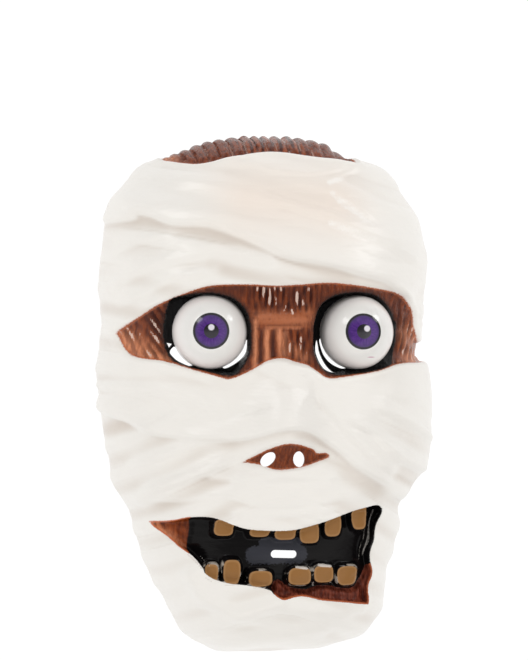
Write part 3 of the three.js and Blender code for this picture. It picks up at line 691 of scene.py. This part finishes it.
# lighter orange paint in places on the skin; the shader lays it on most strongly on the wrinkles' crests, as
# painted light
paint_value("light_skin", strokes([
    (-81, 29, -70, 22, 6, 1), (-70, 22, -60, 19, 3, 1), (-14.8, 40, -14.6, 13, 1.5, 0.9),
    (-8.6, 35, -8.4, 17, 1.6, 1), (-2.2, 35, 0.2, 20, 1.8, 1), (4, 26, 12, 20, 3, 0.5),
    (0.8, 33, 1.4, 23, 1.8, 1), (-13, 42, 12, 40, 3.5, 0.4),
    (-9, 36.3, 10, 36.3, 0.6, 0.8), (13, 44, 19, 38, 4, 0.3), (74, 19, 90, 22, 5, 1),
    (73, 32, 84, 25, 6, 0.6), (-57, 127, -52, 128, 2.5, 1), (-64, -69, -50, -80, 2.5, 0.9),
    (46, -98, 47, -108, 2.5, 0.9),
]))
# darker paint in places on the skin, and painted shade in the valleys between the light columns between the
# eyes
paint_value("dark_skin", strokes([
    (-68, 43, -62, 36, 6, 1), (-35, 57, 20, 53, 5, 0.8), (-14, 48, 14, 49, 4, 0.7),
    (22, 56, 66, 54, 4, 0.5), (66, 50, 69, 30, 4, 0.9), (-5.2, 29, -4.9, 20, 1.4, 1),
    (-12.1, 30, -11.8, 15, 1.4, 1),
    (11, 33, 15, 20, 3.5, 0.6), (-8, 37.6, 9, 37.6, 0.6, 0.9),
]))
# pale lines of light in the grooves between the scalp's lobes, strong in some places and faint in others
scalp_gloss = smooth(-0.7, 0.7, drawn_out(9, plain_y, plain_x, 9, 11))
grooves = smooth(0.4, 0.05, flutes(plain_x) ** (1 / FLUTE_POWER))
paint_value("scalp_line", scalp_gloss * grooves * smooth(0, 1, depth_in([SCALP_SKIN], plain_x, plain_y)))
# painted highlight streaks, laid on the skin's wrinkle crests where these strokes lie
paint_value("streak", strokes([
    (-10, 56, -5, 50, 3, 1), (4, 56, 9, 51, 3.4, 1), (0, 47, 5, 45, 2, 0.8), (3, 34, 5, 25, 2.4, 1),
    (9, 30, 11, 23, 2.2, 0.9), (-78, 36, -70, 25, 5.5, 0.85), (-67, 38, -63, 31, 3.5, 1),
    (76, 34, 80, 22, 6, 0.85), (70, 24, 72, 18, 2, 0.9), (-36, 57, 30, 57, 2, 0.6),
    (-55, -69, -49, -75, 1, 0.7),
]))
# painted highlights and reflections: on the teeth's tops and rims, and as thin lines along the mouth's right
# and lower left edges
paint_value("gleam", strokes([
    (8.2, -90.7, 14, -91.4, 0.9, 1), (20.5, -90, 27, -90.6, 1, 1), (31.5, -91, 37, -90.2, 0.5, 0.7),
    (17.6, -98.8, 18.6, -101, 0.6, 0.9), (26.5, -99.2, 29, -100, 0.5, 0.9),
    (33, -101.2, 40, -100.6, 0.5, 0.6), (-38.6, -95.6, -35, -98.2, 0.5, 0.9),
    (-29, -99.4, -22.5, -99, 0.5, 0.8), (-15, -100.9, -8, -101.4, 0.6, 0.8),
    (-29, -86.4, -23, -86, 0.4, 0.5), (-40.5, -84.6, -36.4, -90, 0.4, 0.8),
    (52.4, -62, 46.8, -86, 0.9, 0.72), (49.2, -63, 44, -88, 0.8, 0.66),
    (-47.2, -83.9, -40.3, -90.9, 0.8, 0.9),
]))
# a painted reflection: a blue-grey sheen on the mouth's black floor around the breathing slot
paint_value("sheen_patch", strokes([(-13, -84.5, 10, -84, 6.5, 1.0), (-8, -78, 8, -78, 4, 1.0)]))
# painted highlights on the forehead's crumples and on other folds of the wraps
paint_value("bright", strokes([
    (28, 113, 36, 116, 2, 1), (29, 107, 33, 104, 2.2, 0.9), (33, 104, 46, 93, 3.4, 1),
    (42, 96, 50, 91, 2.4, 1), (27, 91, 50, 82, 3, 0.9), (-56, 110, -24, 104, 2, 0.5),
    (-36, 78, -16, 76, 3.5, 0.5), (-50, 68, -32, 70, 2, 0.4), (-38, -6, -22, -12, 4, 0.4),
    (50, -6, 62, -14, 4, 0.5), (-16, -61, 14, -62, 3, 0.5), (-30, -122, 12, -122, 3, 0.4),
]))

# Each face of the front gets its coat: the order of the coats is that of the shell's materials
ON_WRAPS, IN_HOLLOWS, ON_SKIN = 0, 2, 3
HOLLOW_EDGE, SKIN_EDGE = 0.7, 0.9
hollow = np.maximum(mouth_inside, socket_inside)
face_start = gathered(shell.data.polygons, "loop_start")
slot_of = gathered(shell.data.polygons, "material_index")
for depth, edge, slot in ((hollow, HOLLOW_EDGE, IN_HOLLOWS), (bare_skin, SKIN_EDGE, ON_SKIN)):
    slot_of[(slot_of == ON_WRAPS) & (depth[corner_of[face_start]] > edge)] = slot
shell.data.polygons.foreach_set("material_index", slot_of)


def linear(code):
    """A colour's linear values from its sRGB hex code."""
    parts = [int(code[i : i + 2], 16) / 255 for i in (0, 2, 4)]
    return tuple([p / 12.92 if p <= 0.04045 else ((p + 0.055) / 1.055) ** 2.4 for p in parts] + [1.0])


def node(tree, kind, inputs=(), output=0, **settings):
    """Adds a node with its settings, and links or values for its inputs; gives one of its outputs."""
    new = tree.nodes.new("ShaderNode" + kind)
    for name, value in settings.items():
        setattr(new, name, value)
    for socket, value in inputs.items() if isinstance(inputs, dict) else enumerate(inputs):
        if isinstance(value, bpy.types.NodeSocket):
            tree.links.new(value, new.inputs[socket])
        else:
            new.inputs[socket].default_value = value
    return new.outputs[output] if len(new.outputs) else new


def started(material, looks):
    """A material's node tree with its output and its shader, whose own sockets hold the constant looks."""
    material.use_nodes = True
    tree = material.node_tree
    tree.nodes.clear()
    bsdf = node(tree, "BsdfPrincipled", looks)
    node(tree, "OutputMaterial", [bsdf])
    return tree, bsdf.node


# Steps of the paint's borders: the value read, and where the step begins and ends
BORDERS = {
    "is_skin": ("skin", -0.12, 0.12), "fringe_out": ("skin", -0.5, 0.0), "fringe_in": ("skin", 1.1, 0.2),
    "is_mouth": ("mouth", -0.1, 0.15), "edge_out": ("mouth", -0.5, -0.05), "edge_in": ("mouth", 1.0, 0.3),
    "in_corner": ("across", -46.2 * MM, -47.0 * MM), "is_gum": ("gum", 0.0, 0.6),
    "crest_light_and_grain": ("ribbed", 0.3, 0.8), "valley": ("rib", -0.15, -0.7),
    "is_tooth": ("teeth", 0.1, 0.4), "tooth_middle": ("teeth", 0.5, 1.4), "tooth_rim": ("teeth", -1.0, -0.4),
    "is_socket": ("socket", -0.3, 0.4), "socket_shade": ("socket", -3.0, 0.2), "fold_shade": ("fold", 0.2, -2.2),
    "scalp_lined": ("scalp_line", 0.3, 0.9), "sheen": ("sheen_patch", 0.5, 0.62),
    "streaked": ("streaks", 0.3, 0.6), "gleaming": ("gleam", 0.5, 0.75), "shining": ("painted_highlights", 0.2, 0.65),
}
# What lies only where two others both do
BOTH = {
    "lit": ("part_lit", "light_skin"), "fringe": ("fringe_out", "fringe_in"),
    "mouth_edge": ("edge_out", "edge_in"),
    "corner": ("is_mouth", "in_corner"), "gum": ("is_mouth", "is_gum"), "tooth": ("is_mouth", "is_tooth"),
    "patch": ("is_mouth", "sheen"), "glinting_rim": ("tooth_rim", "glint_spots"), "low_glinting_rim": ("glinting_rim", "low_down"),
    "rim": ("low_glinting_rim", "is_mouth"),
}
# How far the sprayed borders wander, in mm or as a share of the strokes' strength
RAGGED = {
    "skin": 0.9, "mouth": 0.5, "socket": 1.6, "gum": 1.5, "sheen_patch": 0.5, "bright": 0.8, "gleam": 0.3,
}
# The lower teeth's rims get painted pale glints, painted highlights, from this height down
LOW_TEETH = (-86.5 * MM, -87.5 * MM)
WRAP_ROUGHNESS, BARE_ROUGHNESS = 0.34, 0.19
RIPPLE_HEIGHT, GRAIN_HEIGHT = 0.001, 0.003


# Gloss paint on vinyl: off-white wraps with a warm blush on the forehead, airbrushed brown skin with an
# orange edge of overspray, black hollows, gold-brown teeth and red-brown gum. Sprayed colours run into each
# other softly and catch sharp lights. The coat shines less on the skin, and least in the hollows. Painted
# shade and painted highlights lie in the colours too: in folds and wrinkles, and on crests, crumples, teeth
# and the mouth's floor.
def paint(material, shine):
    tree, shader = started(material, {"IOR": 1.5, "Specular IOR Level": shine})
    place = node(tree, "TexCoord", output=3)
    fine = node(tree, "TexNoise", {"Vector": place, "Scale": 900.0, "Detail": 3.0})
    clouds = node(tree, "TexNoise", {"Vector": place, "Scale": 22.0})
    patches = node(tree, "TexNoise", {"Vector": place, "Scale": 150.0, "Detail": 3.0})
    upright = node(tree, "Mapping", {"Vector": place, "Scale": (620, 150, 240)})
    grain = node(tree, "TexNoise", {"Vector": upright, "Scale": 1.0, "Detail": 4.0, "Roughness": 0.6})
    slanting = node(tree, "Mapping", {"Vector": place, "Rotation": (0, 0, 0.35), "Scale": (45, 230, 150)})
    ripple = node(tree, "TexNoise", {"Vector": slanting, "Scale": 1.0, "Detail": 2.0})
    ragged = node(tree, "Math", [fine, 0.5], operation="SUBTRACT")
    plain_place = node(tree, "UVMap", uv_map="plain")
    across, along = (node(tree, "SeparateXYZ", [plain_place], output=k) for k in (0, 1))
    value = {"clouds": clouds, "patches": patches, "across": across}
    for name in ("skin", "mouth", "socket", "gum", "teeth", "fold", "rib", "blush", "light_skin",
                 "dark_skin", "scalp_line", "streak", "gleam", "sheen_patch", "bright"):
        value[name] = node(tree, "Attribute", output=2, attribute_name=name)
        if name in RAGGED:
            value[name] = node(tree, "Math", [ragged, RAGGED[name], value[name]], operation="MULTIPLY_ADD")
    # ribs and the sprayed coat's own streaks together make the skin's light and dark lines: the ribs' crests
    # are painted lighter as light and their valleys darker as shade
    value["ribbed"] = node(tree, "Math", [value["rib"], 0.35, grain], operation="MULTIPLY_ADD")
    crest = node(tree, "MapRange", {"Value": value["ribbed"], "From Min": 0.58, "From Max": 0.78})
    # painted highlight streaks: the wrinkles' crests where the streak strokes lie
    value["streaks"] = node(tree, "Math", [crest, value["streak"]], operation="MULTIPLY")
    # painted highlights on the wraps, broken up by the ripple
    value["painted_highlights"] = node(tree, "Math", [ripple, value["bright"]], operation="MULTIPLY")
    for name, (read_from, low, high) in BORDERS.items():
        value[name] = node(tree, "MapRange", {"Value": value[read_from], "From Min": low, "From Max": high},
                           interpolation_type="SMOOTHSTEP")
    value["part_lit"] = node(tree, "Math", [value["crest_light_and_grain"], 0.6, 0.4], operation="MULTIPLY_ADD")
    low, high = LOW_TEETH
    value["low_down"] = node(tree, "MapRange", {"Value": along, "From Min": low, "From Max": high})
    # irregular spots where the lower teeth's rims get painted pale glints
    value["glint_spots"] = node(tree, "MapRange", {"Value": patches, "From Min": 0.52, "From Max": 0.6})
    for name, (first, second) in BOTH.items():
        value[name] = node(tree, "Math", [value[first], value[second]], operation="MULTIPLY")
    warm = node(tree, "Math", [value["in_corner"], value["gum"]], operation="MAXIMUM")
    value["warm_edge"] = node(tree, "Math", [value["mouth_edge"], warm], operation="MULTIPLY")

    def coats(under, rows):
        """Lays coats over each other: where each lies, its strength, and its colour, a code or a socket."""
        for name, strength, over in rows:
            part = node(tree, "Math", [value[name], strength], operation="MULTIPLY", use_clamp=True)
            over = linear(over) if isinstance(over, str) else over
            under = node(tree, "Mix", {0: part, 6: under, 7: over}, output=2, data_type="RGBA")
        return under

    # the wraps' white, with painted shade in the folds' low places and painted highlights on crumples and
    # folds
    white = coats(linear("F2EFEA"), [
        ("clouds", 0.5, "EAE8E4"), ("blush", 0.5, "F2DFD0"), ("fold_shade", 0.9, "D6CCC2"),
        ("shining", 0.8, "FBF8F4"),
    ])
    # the skin's brown, with painted light on the wrinkles' crests and painted shade in their valleys
    brown = coats(linear("5C2510"), [
        ("crest_light_and_grain", 0.9, "96481F"), ("dark_skin", 0.7, "451A0B"), ("valley", 0.6, "38120A"),
        ("lit", 1.0, "DD9068"), ("streaked", 0.85, "E8CDBF"), ("scalp_lined", 0.7, "D2AE9F"),
    ])
    gum_red = coats(linear("4A1A12"), [("crest_light_and_grain", 0.9, "99503C")])
    gold = coats(linear("A37B50"), [("tooth_middle", 0.9, "8C6438"), ("patches", 0.3, "A87548")])
    skin = coats(brown, [("socket_shade", 0.7, "2A150F")])
    # over the paint's own colours lie a painted reflection on the mouth's floor, painted glints on the lower
    # teeth's rims and painted highlights at teeth and mouth edges
    colour = coats(white, [
        ("is_skin", 1.0, skin), ("fringe", 0.6, "C4683A"), ("is_mouth", 1.0, "0E0C0D"),
        ("patch", 1.0, "383940"), ("corner", 1.0, brown), ("gum", 1.0, gum_red),
        ("warm_edge", 0.85, "C4683F"), ("rim", 0.75, "C9BFB4"), ("tooth", 1.0, gold),
        ("is_socket", 1.0, "0B0A0B"), ("gleaming", 0.8, "D8D2CC"),
    ])
    tree.links.new(colour, shader.inputs["Base Color"])
    bare = node(tree, "Math", [value["is_skin"], value["is_mouth"]], operation="MAXIMUM")
    change = BARE_ROUGHNESS - WRAP_ROUGHNESS
    rough = node(tree, "Math", [bare, change, WRAP_ROUGHNESS], operation="MULTIPLY_ADD")
    tree.links.new(rough, shader.inputs["Roughness"])
    on_skin = node(tree, "Math", [value["is_skin"], GRAIN_HEIGHT], operation="MULTIPLY")
    grain_height = node(tree, "Math", [grain, on_skin], operation="MULTIPLY")
    height = node(tree, "Math", [ripple, RIPPLE_HEIGHT, grain_height], operation="MULTIPLY_ADD")
    bump = node(tree, "Bump", {"Strength": 0.6, "Distance": 1.0, "Height": height})
    tree.links.new(bump, shader.inputs["Normal"])


paint(glossy_paint, 0.5)
paint(hollow_paint, 0.12)
paint(skin_paint, 0.24)

# The back is the bare sheet, white all through
started(bare_vinyl, {"Base Color": linear("EFEDE9"), "Roughness": 0.38, "IOR": 1.5})

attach(shell, "root")
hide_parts("mask_shell")

# Eyeballs: two hollow balls of glossy white plastic, cut in half, each with a violet iris and a pupil printed
# on it. They are glued onto the flat floors of the sockets, each looking a little its own way.
BALL_WALL, BALL_GAP, BALL_SIDES, BALL_ROWS = 1.5, 0.3, 72, 48
IRIS_RADIUS, RING_WIDTH, VIOLET_RADIUS, PUPIL_RADIUS, GLINT_RADIUS = 9.6, 1.25, 7.55, 3.9, 1.6
IRIS_LIFT = 0.45
GLINTS = {"eyeball_left": (0.0, 1.9), "eyeball_right": (1.6, 1.5)}
# a faint red scuff below the iris, on the right ball alone
SCUFFS = {"eyeball_right": (5.0, -13.7)}


def eye_material(name, glint, scuff):
    """Moulded white plastic with a printed iris under clear gloss, which keeps soft round lights."""
    material = bpy.data.materials.new(name)
    tree, shader = started(material, {
        "Roughness": 0.12, "IOR": 1.49, "Subsurface Weight": 0.45, "Subsurface Radius": (1.0, 1.0, 1.0),
        "Subsurface Scale": 6 * MM,
    })
    print_place = node(tree, "UVMap", uv_map="print")
    here = node(tree, "VectorMath", [print_place, (0, IRIS_LIFT * MM, 0)], operation="SUBTRACT")
    far = node(tree, "VectorMath", [here], output=1, operation="LENGTH")
    across, along = (node(tree, "SeparateXYZ", [here], output=k) for k in (0, 1))
    around = node(tree, "Math", [along, across], operation="ARCTAN2")
    turn = node(tree, "Math", [around, 3.2], operation="MULTIPLY")
    reach = node(tree, "Math", [far, 160.0], operation="MULTIPLY")
    spokes = node(tree, "TexNoise", {
        "Vector": node(tree, "CombineXYZ", [turn, reach]), "Scale": 2.2, "Detail": 3.0,
    })
    glint_at = node(tree, "VectorMath", [here, (glint[0] * MM, glint[1] * MM, 0)], operation="SUBTRACT")
    glint_far = node(tree, "VectorMath", [glint_at], output=1, operation="LENGTH")
    pupil_shade = node(tree, "MapRange", {"Value": along, "From Min": 1.2 * MM, "From Max": -1.2 * MM})
    pupil = node(tree, "Mix", {0: pupil_shade, 6: linear("120E16"), 7: linear("3A383E")}, output=2,
                 data_type="RGBA")
    spoke_step = node(tree, "MapRange", {"Value": spokes, "From Min": 0.35, "From Max": 0.7})
    violet = node(tree, "Mix", {0: spoke_step, 6: linear("401870"), 7: linear("562884")}, output=2,
                  data_type="RGBA")
    colour = linear("F6F4F0")
    # prints on each other: the distance read, radius and softness of the edge in mm, and colour
    prints = [
        (far, 16.25, -3.25, linear("F2EAE7")), (far, IRIS_RADIUS, 0.1, linear("15101C")),
        (far, IRIS_RADIUS - RING_WIDTH, 0.3, linear("3E206A")), (far, VIOLET_RADIUS, 0.75, violet),
        (far, PUPIL_RADIUS, 0.15, pupil), (glint_far, GLINT_RADIUS, 0.3, linear("E9E4EE")),
    ]
    if scuff:
        scuff_at = node(tree, "VectorMath", [here, (scuff[0] * MM, scuff[1] * MM, 0)], operation="SUBTRACT")
        flat = node(tree, "VectorMath", [scuff_at, (0.16, 1.0, 0.0)], operation="MULTIPLY")
        scuff_far = node(tree, "VectorMath", [flat], output=1, operation="LENGTH")
        prints.append((scuff_far, 0.3, 0.2, linear("CFA3B2")))
    for distance, radius, soft, over in prints:
        low, high = (radius + soft) * MM, (radius - soft) * MM
        amount = node(tree, "MapRange", {"Value": distance, "From Min": low, "From Max": high},
                      interpolation_type="SMOOTHSTEP")
        colour = node(tree, "Mix", {0: amount, 6: colour, 7: over}, output=2, data_type="RGBA")
    tree.links.new(colour, shader.inputs["Base Color"])
    return material


for name, eye in zip(("eyeball_left", "eyeball_right"), EYES):
    bm = bmesh.new()
    bmesh.ops.create_uvsphere(bm, u_segments=BALL_SIDES, v_segments=BALL_ROWS, radius=BALL_RADIUS * MM)
    whole = bm.verts[:] + bm.edges[:] + bm.faces[:]
    bmesh.ops.bisect_plane(bm, geom=whole, plane_co=(0, 0, 0), plane_no=(0, 0, 1), clear_inner=True)
    bmesh.ops.recalc_face_normals(bm, faces=bm.faces)
    bmesh.ops.solidify(bm, geom=bm.faces[:], thickness=BALL_WALL * MM)
    flat_uv(bm, "print")
    for face in bm.faces:
        face.smooth = True
    eye_x, eye_y, look = eye
    foot = plain_height(np.array(eye_x), np.array(eye_y)) + BALL_PROUD - BALL_RADIUS
    turn = Matrix.Rotation(math.radians(look), 4, "Y")
    lift = turn @ Vector((0, 0, BALL_GAP * MM))
    seat = Matrix.Translation(Vector((eye_x, eye_y, foot)) * MM + lift) @ turn
    bmesh.ops.transform(bm, matrix=seat, verts=bm.verts)
    ball = made(name + "_print", bm)
    ball.data.materials.append(eye_material(name + "_plastic", GLINTS[name], SCUFFS.get(name)))
    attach(ball, "root")
    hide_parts(name)

# Camera: a long lens from the front, turned 9.5 degrees to the onlooker's left of the face
YAW, FAR, PIXEL, PIXELS_ACROSS = math.radians(9.5), 1600.0, 0.55037, 528
SENSOR = 36.0
AIM = Vector((0.29, 35.2, 5.0))
back_way = Vector((-math.sin(YAW), 0, math.cos(YAW)))
camera_data = bpy.data.cameras.new("camera")
camera_data.sensor_fit = "HORIZONTAL"
camera_data.sensor_width = SENSOR
camera_data.lens = SENSOR * FAR / (PIXELS_ACROSS * PIXEL)
camera_data.clip_end = 20
camera = bpy.data.objects.new("camera", camera_data)
camera.matrix_world = Matrix.Translation((AIM + back_way * FAR) * MM) @ Matrix.Rotation(-YAW, 4, "Y")
bpy.context.scene.collection.objects.link(camera)
bpy.context.scene.camera = camera

# Light: a white tent, dim where the camera looks in and dimmer again down to the horizon, and a little
# brighter on the right and from below, with two softboxes above the left and the right
TENT_STRENGTH, TENT_LEAN = 1.19, (0.14, -0.25, 0)
# Where the tent grows dim, in degrees from the camera, and by how much
TENT_DIMS = ((40, 22, 0.66), (58, 88, 1.16))
# Softboxes: name, direction and power in watts
SOFTBOXES = [("softbox_left", (-0.60, 0.575, 0.55), 2.2), ("softbox_right", (0.747, 0.567, 0.336), 2.6)]
SOFTBOX_FAR, SOFTBOX_SIZE = 1.3, 0.36
world = bpy.data.worlds.new("tent")
bpy.context.scene.world = world
world.use_nodes = True
tree = world.node_tree
way = node(tree, "TexCoord")
towards = node(tree, "VectorMath", [way, tuple(back_way)], output=1, operation="DOT_PRODUCT")
lean = node(tree, "VectorMath", [way, TENT_LEAN], output=1, operation="DOT_PRODUCT")
strength = node(tree, "Math", [lean, TENT_STRENGTH], operation="ADD")
for begins, full, less in TENT_DIMS:
    low, high = math.cos(math.radians(begins)), math.cos(math.radians(full))
    near = node(tree, "MapRange", {"Value": towards, "From Min": low, "From Max": high},
                interpolation_type="SMOOTHSTEP")
    strength = node(tree, "Math", [near, -less, strength], operation="MULTIPLY_ADD")
strength = node(tree, "Math", [strength, 0.0], operation="MAXIMUM")
tree.links.new(strength, tree.nodes["Background"].inputs["Strength"])
tree.nodes["Background"].inputs["Color"].default_value = (1.0, 0.985, 0.965, 1)
for name, toward, watts in SOFTBOXES:
    lamp = bpy.data.lights.new(name, "AREA")
    lamp.shape = "SQUARE"
    lamp.size = SOFTBOX_SIZE
    lamp.energy = watts
    holder = bpy.data.objects.new(name, lamp)
    toward = Vector(toward).normalized()
    holder.location = toward * SOFTBOX_FAR
    holder.rotation_euler = toward.to_track_quat("Z", "Y").to_euler()
    bpy.context.scene.collection.objects.link(holder)
bpy.context.scene.view_settings.view_transform = "Standard"

# Floor: a white sweep that shines a little, so that it stays white behind the holes too
FLOOR_SIZE, FLOOR_DROP = 20.0, 0.0002
floor_bm = bmesh.new()
bmesh.ops.create_grid(floor_bm, x_segments=1, y_segments=1, size=FLOOR_SIZE)
bmesh.ops.translate(floor_bm, vec=(0, 0, -FLOOR_DROP), verts=floor_bm.verts)
floor = made("floor", floor_bm)
sweep = bpy.data.materials.new("white_sweep")
started(sweep, {
    "Base Color": linear("303030"), "Roughness": 0.9,
    "Emission Color": (1, 1, 1, 1), "Emission Strength": 1.0,
})
floor.data.materials.append(sweep)
